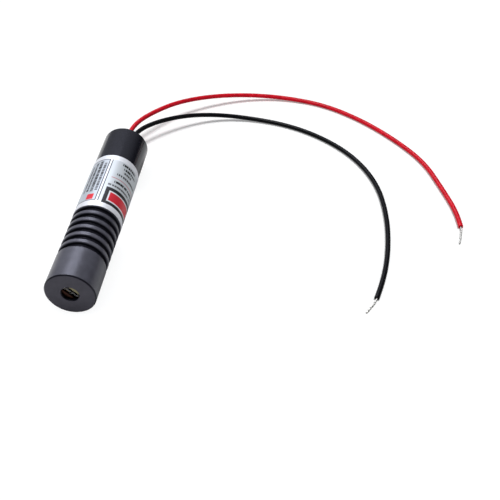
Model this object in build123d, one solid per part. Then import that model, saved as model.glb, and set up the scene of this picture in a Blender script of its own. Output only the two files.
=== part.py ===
from build123d import *
import math
import os

# Laser diode module: a grooved barrel lying on its side, beam towards -Y, two leads leaving at +Y.
# Millimetres. The origin is on the floor, under the middle of the barrel.
# A station is a distance from the front face, measured along the beam axis towards the rear.

# Barrel
BODY_RADIUS = 8.0
BODY_LENGTH = 76.5
WALL = 1.95
EDGE_CHAMFER = 0.4
EDGE_BREAK = 0.15
GROOVE_COUNT = 6
GROOVE_WIDTH = 1.95
GROOVE_DEPTH = 1.15
RIB_WIDTH = 1.48

# Front cap
FRONT_LAND = 12.8
FRONT_WALL = 0.9
APERTURE_RADIUS = 2.75
APERTURE_CHAMFER = 0.2
SPIGOT_LENGTH = 5.0
SPIGOT_WALL = 1.52

# Rear plug
PLUG_RECESS = 0.3
PLUG_FLANGE = 2.0
PLUG_SPIGOT = 2.5
PLUG_SEAT_WIDTH = 0.8
PLUG_CHAMFER = 0.3

# Foil label, with its seam on the underside
LABEL_WIDTH = 27.3
LABEL_MARGIN = 0.25
LABEL_THICKNESS = 0.1
LABEL_SEAM_ANGLE = 24.0

# Line lens: a glass rod lying across a brass cell
LINE_TILT = 45.0
ROD_RADIUS = 1.0
ROD_END_GAP = 1.0
ROD_CHAMFER = 0.15
SLOT_CHAMFER = 0.15
CELL_LENGTH = 6.0
CELL_BEAM_RADIUS = 1.6

# Collimating lens and the threaded barrel that focuses it
LENS_EDGE = 1.0
LENS_LEDGE = 0.5
LENS_DOME_HEIGHT = 0.7
LENS_BARREL_WALL = 0.94
LENS_BARREL_LENGTH = 6.5
LENS_SETBACK = 2.0
LENS_SHOULDER = 2.0
RETAINER_LENGTH = 1.4
SPANNER_SLOT_WIDTH = 0.8
SPANNER_SLOT_DEPTH = 0.7
SPRING_STRIP_WIDTH = 0.6
SPRING_STRIP_THICKNESS = 0.3
SPRING_SIDE_GAP = 0.6
SPRING_TURNS = 2.5

# Diode holder and press ring
HOLDER_LENGTH = 18.0
HOLDER_WALL = 1.53
HOLDER_CHAMFER = 0.3
LENS_BORE_DEPTH = 10.8
WEB = 2.0
RING_LEDGE = 1.2
RING_PIN_GAP = 0.775
RING_LENGTH = 3.0

# Laser diode
STEM_RADIUS = 2.8
STEM_THICKNESS = 1.2
STEM_NOTCH = 0.4
CAN_RADIUS = 1.775
CAN_HEIGHT = 2.4
CAN_WALL = 0.25
WINDOW_HOLE_RADIUS = 0.8
WINDOW_THICKNESS = 0.25
PIN_COUNT = 3
PIN_RADIUS = 0.225
PIN_CIRCLE_RADIUS = 1.0
PIN_LENGTH = 6.5

# Driver board and sleeve
BOARD_LENGTH = 23.5
BOARD_SETBACK = 0.4
BOARD_CORNER_RADIUS = 0.8
SLEEVE_WALL = 0.3
PIN_JOINT_RADIUS = 0.55

# Parts on the board: sizes as (along, across, height), places as (along, across) from the board's front edge
CHIP_SIZE = (4.9, 3.9, 1.4)
CHIP_PLACE = (7.6, 0.0)
CHIP_LEGS_PER_SIDE = 4
CHIP_LEG_PITCH = 1.27
TRANSISTOR_SIZE = (4.5, 2.5, 1.5)
TRANSISTOR_PLACE = (9.2, 0.0)
TRANSISTOR_LEGS = 3
TRANSISTOR_LEG_PITCH = 1.5
POLARITY_DIODE_SIZE = (1.6, 2.7, 1.1)
POLARITY_DIODE_INSET = 2.4
POLARITY_DIODE_PLACE = (BOARD_LENGTH - POLARITY_DIODE_INSET, 0.0)
TANTALUM_SIZE = (3.2, 1.6, 1.6)
TANTALUM_PLACE = (5.2, 0.0)
RESISTOR_SIZE = (1.6, 0.8, 0.45)
RESISTOR_FRONT_ROW = 3.9
RESISTOR_REAR_INSET = 6.0
RESISTOR_REAR_ROW = BOARD_LENGTH - RESISTOR_REAR_INSET
RESISTOR_PLACES = [
    (RESISTOR_FRONT_ROW, -2.8),
    (RESISTOR_FRONT_ROW, 2.8),
    (RESISTOR_REAR_ROW, -3.5),
    (RESISTOR_REAR_ROW, 3.5),
]
CERAMIC_SIZE = (2.0, 1.25, 1.0)
CERAMIC_PLACES = [(5.2, -3.2), (5.2, 3.2)]
LEG_REACH = 0.9
LEG_WIDTH = 0.4
LEG_THICKNESS = 0.2

# Leads, with tinned bare ends
LEAD_RADIUS = 0.85
LEAD_GAP = 0.1
LEAD_LAP = 2.2
LEAD_PAD_SPREAD = 2.0
LEAD_STRAIGHT = 5.0
CONDUCTOR_RADIUS = 0.32
STRIP_STRAIGHT = 2.0
JOINT_RADIUS = 1.0
JOINT_TOP_RADIUS = 0.5
JOINT_HEIGHT = 1.4

# Share of the shorter run that a bend's arc takes up on each side of its corner
ARC_SHARE = 0.45

# Clearances
THREAD_CLEARANCE = 0.03
PRESS_CLEARANCE = 0.02
GLUE_LINE = 0.02
ROD_CLEARANCE = 0.03
CAN_CLEARANCE = 0.1
SLEEVE_CLEARANCE = 0.05
BOARD_CLEARANCE = 0.1
SOLDER_GAP = 0.025
WIRE_HOLE_CLEARANCE = 0.25

# Lead routes past the straight exit: (across, beyond the rear face, height of the lead's centre)
LYING = LEAD_RADIUS
RED_ROUTE = [
    (0.4, 14.4, 8.6),
    (6.4, 23.9, 8.3),
    (14.4, 34.5, 6.6),
    (27.1, 43.2, 4.6),
    (41.4, 48.9, 2.4),
    (56.2, 50.2, 1.1),
    (71.9, 46.6, LYING),
    (87.1, 36.8, LYING),
    (100.2, 24.1, LYING),
    (110.1, 11.1, LYING),
    (115.4, -3.7, LYING),
    (119.8, -17.3, LYING),
    (120.4, -24.7, LYING),
]
RED_TIP = (119.4, -33.0, 0.45)
BLACK_ROUTE = [
    (3.1, 12.9, 7.5),
    (9.9, 20.2, 6.8),
    (19.1, 27.5, 4.9),
    (30.4, 32.6, 2.5),
    (43.8, 33.5, 1.0),
    (58.6, 30.2, LYING),
    (72.7, 22.5, LYING),
    (84.4, 11.3, LYING),
    (92.5, -3.9, LYING),
    (95.6, -21.1, LYING),
    (95.8, -38.5, LYING),
    (93.9, -53.4, LYING),
    (91.6, -61.6, LYING),
]
BLACK_TIP = (88.4, -67.6, 0.45)

# Radii and stations that follow from the sizes above
BORE_RADIUS = BODY_RADIUS - WALL
GROOVE_FLOOR = BODY_RADIUS - GROOVE_DEPTH
GROOVE_PITCH = GROOVE_WIDTH + RIB_WIDTH
GROOVES_END = FRONT_LAND + GROOVE_COUNT * GROOVE_PITCH - RIB_WIDTH
LABEL_START = GROOVES_END + LABEL_MARGIN
SPIGOT_END = FRONT_LAND + SPIGOT_LENGTH
PLUG_REAR = BODY_LENGTH - PLUG_RECESS
PLUG_SEAT = PLUG_REAR - PLUG_FLANGE
PLUG_SEAT_RADIUS = BORE_RADIUS + PLUG_SEAT_WIDTH
PLUG_FRONT = PLUG_SEAT - PLUG_SPIGOT
LEAD_OFFSET = LEAD_RADIUS + LEAD_GAP / 2
WIRE_HOLE_RADIUS = LEAD_OFFSET + LEAD_RADIUS + WIRE_HOLE_CLEARANCE
CELL_RADIUS = BORE_RADIUS - THREAD_CLEARANCE - SPIGOT_WALL
ROD_LENGTH = 2 * (CELL_RADIUS - ROD_END_GAP)
SLOT_DEPTH = 2 * (ROD_RADIUS + ROD_CLEARANCE)
CELL_END = FRONT_WALL + CELL_LENGTH
LENS_THREAD_RADIUS = BORE_RADIUS - PRESS_CLEARANCE - HOLDER_WALL
LENS_BORE_RADIUS = LENS_THREAD_RADIUS - THREAD_CLEARANCE - LENS_BARREL_WALL
LENS_RADIUS = LENS_BORE_RADIUS - THREAD_CLEARANCE
LENS_DOME_RADIUS = LENS_RADIUS - LENS_LEDGE
LENS_BARREL_FRONT = SPIGOT_END + LENS_SETBACK
LENS_BARREL_REAR = LENS_BARREL_FRONT + LENS_BARREL_LENGTH
LENS_SEAT = LENS_BARREL_REAR - LENS_SHOULDER
LENS_RIM = LENS_SEAT - LENS_EDGE
HOLDER_FLOOR = SPIGOT_END + LENS_BORE_DEPTH
HOLDER_REAR = SPIGOT_END + HOLDER_LENGTH
SPRING_RADIUS = LENS_THREAD_RADIUS - SPRING_SIDE_GAP - SPRING_STRIP_WIDTH / 2
STEM_SEAT = HOLDER_FLOOR + WEB
STEM_REAR = STEM_SEAT + STEM_THICKNESS
RING_RADIUS = STEM_RADIUS + RING_LEDGE
RING_BORE_RADIUS = PIN_CIRCLE_RADIUS + PIN_RADIUS + RING_PIN_GAP
CAN_FRONT = STEM_SEAT - CAN_HEIGHT
PIN_END = STEM_REAR + PIN_LENGTH
BOARD_FRONT = HOLDER_REAR + BOARD_SETBACK
BOARD_REAR = BOARD_FRONT + BOARD_LENGTH
PIN_ANGLES = [90 + i * 360 / PIN_COUNT for i in range(PIN_COUNT)]
PIN_HEIGHTS = [PIN_CIRCLE_RADIUS * math.sin(math.radians(angle)) for angle in PIN_ANGLES]
BOARD_TOP = max(PIN_HEIGHTS) - PIN_RADIUS - SOLDER_GAP
BOARD_BOTTOM = min(PIN_HEIGHTS) + PIN_RADIUS + SOLDER_GAP
SLEEVE_RADIUS = BORE_RADIUS - SLEEVE_CLEARANCE
SLEEVE_BORE = SLEEVE_RADIUS - SLEEVE_WALL
LEAD_END = BOARD_REAR - LEAD_LAP

BEAM_START = (0, -BODY_LENGTH / 2, BODY_RADIUS)
BEAM_AXIS = Axis(BEAM_START, (0, 1, 0))
BEAM_PLANE = Plane(origin=BEAM_START, x_dir=(0, 1, 0), z_dir=(1, 0, 0))


def at(station, across=0.0, above=0.0):
    """Point at a station, offset from the beam axis."""
    return (across, station - BODY_LENGTH / 2, BODY_RADIUS + above)


def turned(outline):
    """Solid of revolution about the beam axis, from (station, radius) points or from a closed curve."""
    curve = Polyline(*outline, close=True) if isinstance(outline, list) else outline
    return revolve(BEAM_PLANE * make_face(curve), BEAM_AXIS)


def ring(start, end, inner, outer):
    """Plain tube between two stations."""
    return turned([(start, inner), (start, outer), (end, outer), (end, inner)])


def spanner_slot(start, end, radius):
    """Cutter for the slot that a spanner turns a threaded piece by."""
    middle = Pos(at((start + end) / 2))
    return middle * Box(2 * radius, end - start, SPANNER_SLOT_WIDTH)


def barrel():
    """Grooved tube, bored right through, with a seat for the plug at its rear."""
    outline = [(FRONT_LAND, BORE_RADIUS), (FRONT_LAND, GROOVE_FLOOR)]
    for i in range(GROOVE_COUNT):
        rib_start = FRONT_LAND + GROOVE_WIDTH + i * GROOVE_PITCH
        rib_end = rib_start + RIB_WIDTH
        outline += [
            (rib_start, GROOVE_FLOOR),
            (rib_start, BODY_RADIUS - EDGE_BREAK),
            (rib_start + EDGE_BREAK, BODY_RADIUS),
        ]
        if i < GROOVE_COUNT - 1:
            outline += [
                (rib_end - EDGE_BREAK, BODY_RADIUS),
                (rib_end, BODY_RADIUS - EDGE_BREAK),
                (rib_end, GROOVE_FLOOR),
            ]
    outline += [
        (BODY_LENGTH - EDGE_CHAMFER, BODY_RADIUS),
        (BODY_LENGTH, BODY_RADIUS - EDGE_CHAMFER),
        (BODY_LENGTH, PLUG_SEAT_RADIUS),
        (PLUG_SEAT, PLUG_SEAT_RADIUS),
        (PLUG_SEAT, BORE_RADIUS),
    ]
    return turned(outline)


def front_cap():
    """Cap with the beam aperture in its face and a spigot that screws into the barrel."""
    spigot_radius = BORE_RADIUS - THREAD_CLEARANCE
    return turned([
        (0, APERTURE_RADIUS + APERTURE_CHAMFER),
        (0, BODY_RADIUS - EDGE_CHAMFER),
        (EDGE_CHAMFER, BODY_RADIUS),
        (FRONT_LAND - EDGE_BREAK, BODY_RADIUS),
        (FRONT_LAND, BODY_RADIUS - EDGE_BREAK),
        (FRONT_LAND, spigot_radius),
        (SPIGOT_END, spigot_radius),
        (SPIGOT_END, CELL_RADIUS),
        (FRONT_WALL, CELL_RADIUS),
        (FRONT_WALL, APERTURE_RADIUS),
        (APERTURE_CHAMFER, APERTURE_RADIUS),
    ])


def rear_plug():
    """Flanged plug seated in the barrel's rear, with one hole for both leads."""
    flange_radius = PLUG_SEAT_RADIUS - PRESS_CLEARANCE
    spigot_radius = BORE_RADIUS - PRESS_CLEARANCE
    return turned([
        (PLUG_FRONT, WIRE_HOLE_RADIUS),
        (PLUG_FRONT, spigot_radius),
        (PLUG_SEAT, spigot_radius),
        (PLUG_SEAT, flange_radius),
        (PLUG_REAR - PLUG_CHAMFER, flange_radius),
        (PLUG_REAR, flange_radius - PLUG_CHAMFER),
        (PLUG_REAR, WIRE_HOLE_RADIUS + PLUG_CHAMFER),
        (PLUG_REAR - PLUG_CHAMFER, WIRE_HOLE_RADIUS),
    ])


def label():
    """Foil wrapped round the barrel, open along a seam underneath."""
    inner = BODY_RADIUS + GLUE_LINE
    strip = Rectangle(LABEL_WIDTH, LABEL_THICKNESS, align=Align.MIN)
    profile = BEAM_PLANE * Pos(LABEL_START, inner) * strip
    edge_of_seam = profile.rotate(BEAM_AXIS, 180 + LABEL_SEAM_ANGLE / 2)
    return revolve(edge_of_seam, BEAM_AXIS, 360 - LABEL_SEAM_ANGLE)


def line_lens_cell():
    """Brass cell with a cross slot for the rod at its front and a beam bore behind."""
    radius = CELL_RADIUS - THREAD_CLEARANCE
    slot_floor = FRONT_WALL + SLOT_DEPTH
    body = turned([
        (FRONT_WALL, 0),
        (FRONT_WALL, radius),
        (CELL_END, radius),
        (CELL_END, CELL_BEAM_RADIUS),
        (slot_floor, CELL_BEAM_RADIUS),
        (slot_floor, 0),
    ])
    slot_block = Box(2 * CELL_RADIUS, SLOT_DEPTH, SLOT_DEPTH)
    slotted = body - Pos(at(FRONT_WALL + SLOT_DEPTH / 2)) * Rot(0, LINE_TILT, 0) * slot_block
    front = at(FRONT_WALL)[1]
    slot_edges = slotted.edges().filter_by_position(Axis.Y, front, front).filter_by(GeomType.LINE)
    slotted = chamfer(slot_edges, SLOT_CHAMFER)
    return slotted - spanner_slot(CELL_END - SPANNER_SLOT_DEPTH, CELL_END, CELL_RADIUS)


def line_lens():
    """Glass rod, tilted across the beam."""
    rod = Cylinder(ROD_RADIUS, ROD_LENGTH)
    rod = chamfer(rod.edges().filter_by(GeomType.CIRCLE), ROD_CHAMFER)
    return Pos(at(FRONT_WALL + SLOT_DEPTH / 2)) * Rot(0, LINE_TILT + 90, 0) * rod


def collimating_lens():
    """Plano-convex lens with a flat rim for its retaining ring."""
    apex = (LENS_RIM - LENS_DOME_HEIGHT, 0)
    dome_edge = (LENS_RIM, LENS_DOME_RADIUS)
    dome_curve = (LENS_DOME_RADIUS**2 + LENS_DOME_HEIGHT**2) / (2 * LENS_DOME_HEIGHT)
    sides = Polyline(dome_edge, (LENS_RIM, LENS_RADIUS), (LENS_SEAT, LENS_RADIUS), (LENS_SEAT, 0), apex)
    dome = RadiusArc(apex, dome_edge, dome_curve)
    return turned(sides + dome)


def lens_barrel():
    """Threaded brass tube that carries the lens against an inner shoulder."""
    outer = LENS_THREAD_RADIUS - THREAD_CLEARANCE
    body = turned([
        (LENS_BARREL_FRONT, LENS_BORE_RADIUS),
        (LENS_BARREL_FRONT, outer),
        (LENS_BARREL_REAR, outer),
        (LENS_BARREL_REAR, LENS_DOME_RADIUS),
        (LENS_SEAT, LENS_DOME_RADIUS),
        (LENS_SEAT, LENS_BORE_RADIUS),
    ])
    return body - spanner_slot(LENS_BARREL_FRONT, LENS_BARREL_FRONT + SPANNER_SLOT_DEPTH, LENS_THREAD_RADIUS)


def lens_retainer():
    """Threaded ring that holds the lens against its shoulder."""
    front = LENS_RIM - RETAINER_LENGTH
    body = ring(front, LENS_RIM, LENS_DOME_RADIUS, LENS_RADIUS)
    return body - spanner_slot(front, front + SPANNER_SLOT_DEPTH, LENS_RADIUS)


def lens_spring():
    """Short flat-wire coil between the lens barrel and the holder's floor, which takes up the thread's play."""
    inset = SPRING_STRIP_THICKNESS / 2 + PRESS_CLEARANCE
    start = LENS_BARREL_REAR + inset
    height = HOLDER_FLOOR - inset - start
    coil = Helix(height / SPRING_TURNS, height, SPRING_RADIUS, center=at(start), direction=(0, 1, 0))
    outwards = Vector(coil @ 0) - Vector(at(start))
    section = Plane(origin=coil @ 0, x_dir=outwards, z_dir=coil % 0)
    strip = section * Rectangle(SPRING_STRIP_WIDTH, SPRING_STRIP_THICKNESS)
    return sweep(strip, path=coil, is_frenet=True)


def diode_holder():
    """Brass heat sink: lens thread in front, web with the diode's seat, bore for the press ring behind."""
    radius = BORE_RADIUS - PRESS_CLEARANCE
    can_hole = CAN_RADIUS + CAN_CLEARANCE
    stem_bore = STEM_RADIUS + PRESS_CLEARANCE
    return turned([
        (SPIGOT_END, LENS_THREAD_RADIUS),
        (SPIGOT_END, radius - HOLDER_CHAMFER),
        (SPIGOT_END + HOLDER_CHAMFER, radius),
        (HOLDER_REAR - HOLDER_CHAMFER, radius),
        (HOLDER_REAR, radius - HOLDER_CHAMFER),
        (HOLDER_REAR, RING_RADIUS),
        (STEM_REAR, RING_RADIUS),
        (STEM_REAR, stem_bore),
        (STEM_SEAT, stem_bore),
        (STEM_SEAT, can_hole),
        (HOLDER_FLOOR, can_hole),
        (HOLDER_FLOOR, LENS_THREAD_RADIUS),
    ])


def diode_press_ring():
    """Ring pressed in behind the diode's stem."""
    return ring(STEM_REAR, STEM_REAR + RING_LENGTH, RING_BORE_RADIUS, RING_RADIUS - PRESS_CLEARANCE)


def diode_stem():
    """Disc that the diode is built on, with its two locating notches."""
    disc = ring(STEM_SEAT, STEM_REAR, 0, STEM_RADIUS)
    middle = (STEM_SEAT + STEM_REAR) / 2
    for side in (-1, 1):
        disc -= Pos(at(middle, side * STEM_RADIUS)) * Box(2 * STEM_NOTCH, STEM_THICKNESS, STEM_NOTCH)
    return disc


def diode_can():
    """Drawn cap over the laser chip, open at its front for the window."""
    inner = CAN_RADIUS - CAN_WALL
    return turned([
        (STEM_SEAT, inner),
        (STEM_SEAT, CAN_RADIUS),
        (CAN_FRONT, CAN_RADIUS),
        (CAN_FRONT, WINDOW_HOLE_RADIUS),
        (CAN_FRONT + CAN_WALL, WINDOW_HOLE_RADIUS),
        (CAN_FRONT + CAN_WALL, inner),
    ])


def diode_window():
    """Glass disc behind the can's opening."""
    start = CAN_FRONT + CAN_WALL
    return ring(start, start + WINDOW_THICKNESS, 0, CAN_RADIUS - CAN_WALL - PRESS_CLEARANCE)


def pin_places():
    """Across and above of each diode pin."""
    across = [PIN_CIRCLE_RADIUS * math.cos(math.radians(angle)) for angle in PIN_ANGLES]
    return list(zip(across, PIN_HEIGHTS))


def rod_along_beam(station, across, above, radius, length):
    """Round bar that starts at a station and runs towards the rear."""
    start = Plane(origin=at(station, across, above), z_dir=(0, 1, 0))
    return start * Cylinder(radius, length, align=(Align.CENTER, Align.CENTER, Align.MIN))


def diode_pins():
    """Three pins that straddle the board's front edge."""
    return [rod_along_beam(STEM_REAR, across, above, PIN_RADIUS, PIN_LENGTH) for across, above in pin_places()]


def pin_solder_joints():
    """Half-round bead over each pin where it lies on the board."""
    joints = []
    for across, above in pin_places():
        bead = rod_along_beam(BOARD_FRONT, across, above, PIN_JOINT_RADIUS, PIN_END - BOARD_FRONT)
        pin = rod_along_beam(STEM_REAR, across, above, PIN_RADIUS, PIN_LENGTH)
        joints.append(bead - pin - board_blank())
    return joints


def board_blank():
    """Plain board, as wide as the sleeve lets it be at its thickest side."""
    reach = max(abs(BOARD_TOP), abs(BOARD_BOTTOM))
    half_width = math.sqrt((SLEEVE_BORE - BOARD_CLEARANCE) ** 2 - reach**2)
    middle = at((BOARD_FRONT + BOARD_REAR) / 2, 0, (BOARD_TOP + BOARD_BOTTOM) / 2)
    return Pos(middle) * Box(2 * half_width, BOARD_LENGTH, BOARD_TOP - BOARD_BOTTOM)


def driver_board():
    """Board with rounded corners, held between the diode's pins."""
    blank = board_blank()
    return fillet(blank.edges().filter_by(Axis.Z), BOARD_CORNER_RADIUS)


def insulating_sleeve():
    """Thin tube between the board and the barrel."""
    return ring(HOLDER_REAR, PLUG_FRONT, SLEEVE_BORE, SLEEVE_RADIUS)


def upper(place):
    """Location on the board's upper face."""
    along, across = place
    return Pos(at(BOARD_FRONT + along, across, BOARD_TOP))


def lower(place):
    """Location on the board's lower face, facing down."""
    along, across = place
    return Pos(at(BOARD_FRONT + along, across, BOARD_BOTTOM)) * Rot(0, 180, 0)


def block(size):
    """Plain chip body standing on its board face."""
    along, across, height = size
    return Box(across, along, height, align=(Align.CENTER, Align.CENTER, Align.MIN))


def leg(across, along, side, height):
    """Gull-wing leg at a body's side: foot on the board, riser against the body."""
    seat = (Align.MIN if side > 0 else Align.MAX, Align.CENTER, Align.MIN)
    foot = Box(LEG_REACH, LEG_WIDTH, LEG_THICKNESS, align=seat)
    riser = Box(LEG_THICKNESS, LEG_WIDTH, height, align=seat)
    return Pos(across, along, 0) * (foot + riser)


def legged_chip(size, left_places, right_places):
    """Chip body with legs on its two long sides, at the given places along them."""
    half = size[1] / 2
    chip = block(size)
    for along in left_places:
        chip += leg(-half, along, -1, size[2] / 2)
    for along in right_places:
        chip += leg(half, along, 1, size[2] / 2)
    return chip


def evenly(count, pitch):
    """Places along a side, centred on its middle."""
    return [(i - (count - 1) / 2) * pitch for i in range(count)]


def driver_chip():
    places = evenly(CHIP_LEGS_PER_SIDE, CHIP_LEG_PITCH)
    return upper(CHIP_PLACE) * legged_chip(CHIP_SIZE, places, places)


def pass_transistor():
    chip = legged_chip(TRANSISTOR_SIZE, [0.0], evenly(TRANSISTOR_LEGS, TRANSISTOR_LEG_PITCH))
    return lower(TRANSISTOR_PLACE) * chip


def polarity_diode():
    return lower(POLARITY_DIODE_PLACE) * legged_chip(POLARITY_DIODE_SIZE, [0.0], [0.0])


def tantalum_capacitor():
    return lower(TANTALUM_PLACE) * block(TANTALUM_SIZE)


def chip_resistors():
    return [upper(place) * block(RESISTOR_SIZE) for place in RESISTOR_PLACES]


def chip_capacitors():
    return [lower(place) * block(CERAMIC_SIZE) for place in CERAMIC_PLACES]


def lead_solder_joints():
    """Solder cone in front of each lead's inner end."""
    station = LEAD_END - JOINT_RADIUS - PRESS_CLEARANCE
    cone = Cone(JOINT_RADIUS, JOINT_TOP_RADIUS, JOINT_HEIGHT, align=(Align.CENTER, Align.CENTER, Align.MIN))
    return [Pos(at(station, side * LEAD_PAD_SPREAD, BOARD_TOP)) * cone for side in (-1, 1)]


def beyond_rear(point):
    """Route point, given from the rear face, in the part's own frame."""
    across, beyond, height = point
    return (across, BODY_LENGTH / 2 + beyond, height)


def lead_route(side, outside):
    """From the solder joint on the board, through the plug's hole, to the end of the insulation."""
    on_board = BOARD_TOP + LEAD_RADIUS
    inside = [
        at(LEAD_END, side * LEAD_PAD_SPREAD, on_board),
        at(BOARD_REAR + LEAD_LAP, side * LEAD_PAD_SPREAD, on_board),
        at(PLUG_FRONT - LEAD_RADIUS, side * LEAD_OFFSET),
        at(BODY_LENGTH + LEAD_STRAIGHT, side * LEAD_OFFSET),
    ]
    return inside + [beyond_rear(point) for point in outside]


def widest_radii(points):
    """Largest arc at each corner: its share of the shorter run, over the tangent of half the turn."""
    radii = []
    for before, corner, after in zip(points, points[1:], points[2:]):
        run_in = Vector(corner) - Vector(before)
        run_out = Vector(after) - Vector(corner)
        half_turn = math.radians(run_in.get_angle(run_out)) / 2
        radii.append(ARC_SHARE * min(run_in.length, run_out.length) / math.tan(half_turn))
    return radii


def tube(name, points, radius):
    """Round tube along straight runs joined by tangent arcs."""
    radii = widest_radii(points)
    path = FilletPolyline(*points, radius=radii)
    section = Plane(origin=path @ 0, z_dir=path % 0) * Circle(radius)
    solid = sweep(section, path=path)
    expected = math.pi * radius**2 * path.length
    print(name, "length", round(path.length, 2), "volume ratio", round(solid.volume / expected, 4))
    print(name, "bend radii", [round(value, 1) for value in radii])
    return solid


def bare_end(name, route, tip):
    """Tinned conductor that leaves the insulation straight and then bends to its tip."""
    end = Vector(route[-1])
    out = (end - Vector(route[-2])).normalized()
    points = [end, end + out * STRIP_STRAIGHT, Vector(beyond_rear(tip))]
    return tube(name, points, CONDUCTOR_RADIUS)


def save(name, shape):
    """One STEP file for each node; a list is a group of separate solids."""
    whole = Compound(shape) if isinstance(shape, list) else shape
    export_step(whole, os.path.join("parts", name + ".step"))


os.makedirs("parts", exist_ok=True)

red_route = lead_route(-1, RED_ROUTE)
black_route = lead_route(1, BLACK_ROUTE)

nodes = {
    "barrel": barrel(),
    "front_cap": front_cap(),
    "rear_plug": rear_plug(),
    "label": label(),
    "line_lens_cell": line_lens_cell(),
    "line_lens": line_lens(),
    "collimating_lens": collimating_lens(),
    "lens_barrel": lens_barrel(),
    "lens_retainer": lens_retainer(),
    "lens_spring": lens_spring(),
    "diode_holder": diode_holder(),
    "diode_press_ring": diode_press_ring(),
    "diode_stem": diode_stem(),
    "diode_can": diode_can(),
    "diode_window": diode_window(),
    "diode_pins": diode_pins(),
    "pin_solder_joints": pin_solder_joints(),
    "driver_board": driver_board(),
    "insulating_sleeve": insulating_sleeve(),
    "driver_chip": driver_chip(),
    "pass_transistor": pass_transistor(),
    "polarity_diode": polarity_diode(),
    "tantalum_capacitor": tantalum_capacitor(),
    "chip_resistors": chip_resistors(),
    "chip_capacitors": chip_capacitors(),
    "lead_solder_joints": lead_solder_joints(),
    "red_lead": tube("red_lead", red_route, LEAD_RADIUS),
    "black_lead": tube("black_lead", black_route, LEAD_RADIUS),
    "red_lead_end": bare_end("red_lead_end", red_route, RED_TIP),
    "black_lead_end": bare_end("black_lead_end", black_route, BLACK_TIP),
}

for name, shape in nodes.items():
    save(name, shape)
print(len(nodes), "nodes written")
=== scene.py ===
# %% [markdown]
# # A laser diode module in Blender
# The module is a black anodised barrel as thick as a finger, with turned cooling grooves, a silver foil
# label and two thin leads. Its solids come from the CAD frame, at their true size and in their true place.
# They could be modelled again from nothing, but then size and place would drift. So this notebook starts from
# them and gives them their looks: finer surfaces for what shows, a finish for every piece, and the light and
# camera of a product picture. All sizes below are in millimetres, and MM turns them into metres.

import bmesh
import bpy
import numpy as np
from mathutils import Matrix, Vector


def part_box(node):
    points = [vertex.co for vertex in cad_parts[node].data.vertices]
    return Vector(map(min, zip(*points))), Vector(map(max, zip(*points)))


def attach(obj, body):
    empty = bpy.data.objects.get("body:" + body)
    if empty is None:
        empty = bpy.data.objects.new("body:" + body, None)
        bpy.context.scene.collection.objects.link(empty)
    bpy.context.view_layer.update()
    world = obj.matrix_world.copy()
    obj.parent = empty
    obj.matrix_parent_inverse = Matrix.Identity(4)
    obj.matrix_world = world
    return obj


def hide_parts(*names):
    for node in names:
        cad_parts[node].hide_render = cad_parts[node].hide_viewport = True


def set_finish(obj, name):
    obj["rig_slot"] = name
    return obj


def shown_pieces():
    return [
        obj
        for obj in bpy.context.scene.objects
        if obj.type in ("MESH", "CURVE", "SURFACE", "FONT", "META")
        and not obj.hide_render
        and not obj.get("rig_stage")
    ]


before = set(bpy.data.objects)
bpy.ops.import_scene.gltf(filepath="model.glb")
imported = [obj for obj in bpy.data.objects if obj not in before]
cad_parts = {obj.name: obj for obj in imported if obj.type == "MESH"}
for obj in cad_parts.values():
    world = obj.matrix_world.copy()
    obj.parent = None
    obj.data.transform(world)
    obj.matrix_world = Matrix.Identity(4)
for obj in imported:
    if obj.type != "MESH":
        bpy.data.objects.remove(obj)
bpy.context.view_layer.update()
scene = bpy.context.scene
MM = 0.001

# %% [markdown]
# ## The camera
# The module lies on its side and is seen from in front, a little from the right and from halfway up. The
# camera could be turned by three angles, but a target, two angles and a distance are easier to read and to
# correct: the camera sits on a ball round the target and looks at its middle.

# %% Camera
VIEW_TARGET = Vector((50.31, -4.55, 0.0))
VIEW_AZIMUTH = 6.04
VIEW_ELEVATION = 42.68
VIEW_DISTANCE = 261.14
LENS = 56.88
SENSOR = 36.0


def towards(azimuth, elevation):
    """Unit vector from the part to an eye: azimuth 0 is in front of the beam, elevation above the floor."""
    a, e = np.radians([azimuth, elevation])
    return Vector((np.sin(a) * np.cos(e), -np.cos(a) * np.cos(e), np.sin(e)))


def aimed(thing, eye, target):
    """Puts a camera or lamp at the eye, looking at the target, both in millimetres."""
    thing.location = eye * MM
    thing.rotation_euler = (target - eye).to_track_quat("-Z", "Y").to_euler()
    scene.collection.objects.link(thing)
    return thing


camera = bpy.data.objects.new("camera", bpy.data.cameras.new("camera"))
camera.data.lens = LENS
camera.data.sensor_width = SENSOR
camera.data.clip_start = MM
view_eye = VIEW_TARGET + VIEW_DISTANCE * towards(VIEW_AZIMUTH, VIEW_ELEVATION)
scene.camera = aimed(camera, view_eye, VIEW_TARGET)
print("camera at", [round(v) for v in view_eye], "mm")

# %% [markdown]
# ## One way to make every surface
# A turned tube, a wire and a wrapped label have one thing in common: each is a closed outline carried along
# a path. On a tube the path is the circle round its axis, on a wire it is the wire's own line. Blender has a
# tool for each of them, but one function can mesh them all from a grid of points, one row for each place of
# the outline. Numpy works the grid out as a whole array, which is short to write and quick to run.

# %% Carried outlines
def facing_out(mesh):
    """Turns every face of a closed mesh outwards."""
    work = bmesh.new()
    work.from_mesh(mesh)
    bmesh.ops.recalc_face_normals(work, faces=work.faces)
    work.to_mesh(mesh)
    work.free()


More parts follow.
